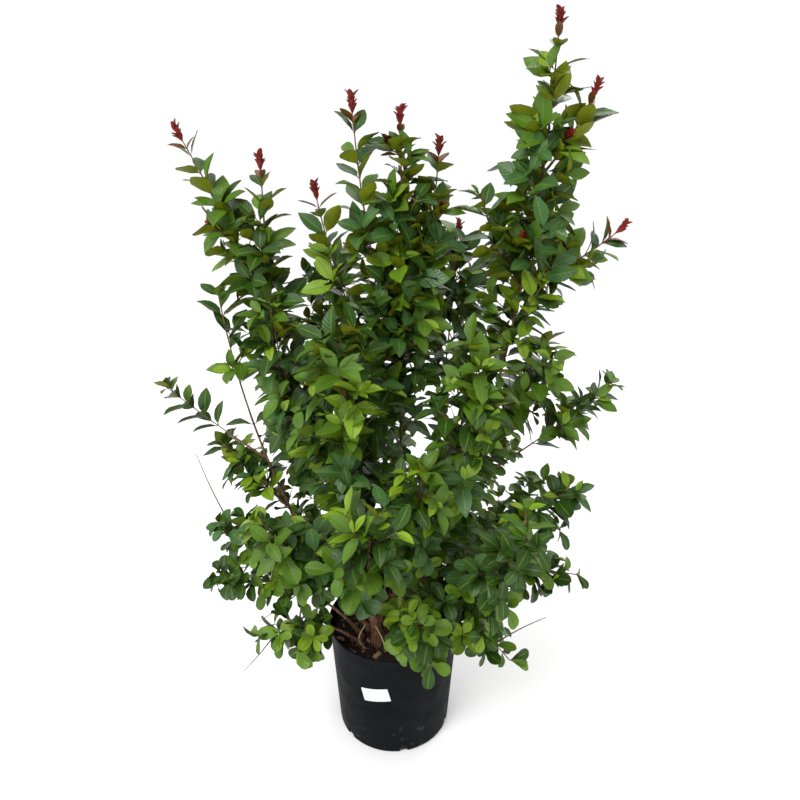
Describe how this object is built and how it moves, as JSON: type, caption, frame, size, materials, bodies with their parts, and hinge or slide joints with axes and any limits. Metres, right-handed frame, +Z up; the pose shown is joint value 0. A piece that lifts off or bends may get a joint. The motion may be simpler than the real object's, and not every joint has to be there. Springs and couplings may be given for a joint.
{
  "type": "potted crape myrtle",
  "caption": "Bushy flowering shrub in leaf, its stems fanning out of the soil of a tapered black nursery pot and rising in separate plumes.",
  "frame": {"origin": "middle of the pot's flat underside", "axes": "+Z up along the pot's axis, -Y towards the viewer's side with the label, +X to the viewer's right"},
  "size_m": [0.853, 0.6612, 1.349],
  "materials": {
    "pot_plastic": "matte",
    "label_paper": "satin",
    "soil_mix": "matte",
    "bark": "matte",
    "leaf_green": "satin"
  },
  "bodies": {
    "root": {"leaves_back_left": "leaf_green", "leaves_back_low_left": "leaf_green", "leaves_back_low_right": "leaf_green", "leaves_back_mid": "leaf_green", "leaves_back_mid_left": "leaf_green", "leaves_back_mid_right": "leaf_green", "leaves_back_right": "leaf_green", "leaves_centre": "leaf_green", "leaves_centre_front": "leaf_green", "leaves_centre_low": "leaf_green", "leaves_centre_mid": "leaf_green", "leaves_centre_plume_far": "leaf_green", "leaves_centre_plume_left": "leaf_green", "leaves_centre_plume_right": "leaf_green", "leaves_dark": "leaf_green", "leaves_front": "leaf_green", "leaves_left": "leaf_green", "leaves_left_arm": "leaf_green", "leaves_left_cluster": "leaf_green", "leaves_left_front": "leaf_green", "leaves_left_mid": "leaf_green", "leaves_left_plume_side": "leaf_green", "leaves_left_upper": "leaf_green", "leaves_low_back": "leaf_green", "leaves_low_droop": "leaf_green", "leaves_low_front": "leaf_green", "leaves_low_front_left": "leaf_green", "leaves_low_left": "leaf_green", "leaves_low_left_front": "leaf_green", "leaves_low_right": "leaf_green", "leaves_main": "leaf_green", "leaves_right": "leaf_green", "leaves_right_arm": "leaf_green", "leaves_right_front": "leaf_green", "leaves_right_low_front": "leaf_green", "leaves_right_mid": "leaf_green", "leaves_right_plume_inner": "leaf_green", "leaves_right_plume_low": "leaf_green", "leaves_right_plume_side": "leaf_green", "leaves_right_upper": "leaf_green", "left_arm": "bark", "low_back": "bark", "low_droop": "bark", "low_left": "bark", "low_left_front": "bark", "low_right": "bark", "pot": "pot_plastic", "pot_label": "label_paper", "right_arm": "bark", "soil": "soil_mix", "stem_back_left": "bark", "stem_back_right": "bark", "stem_centre": "bark", "stem_dark": "bark", "stem_front": "bark", "stem_left": "bark", "stem_main": "bark", "stem_right": "bark"}
  },
  "joints": []
}
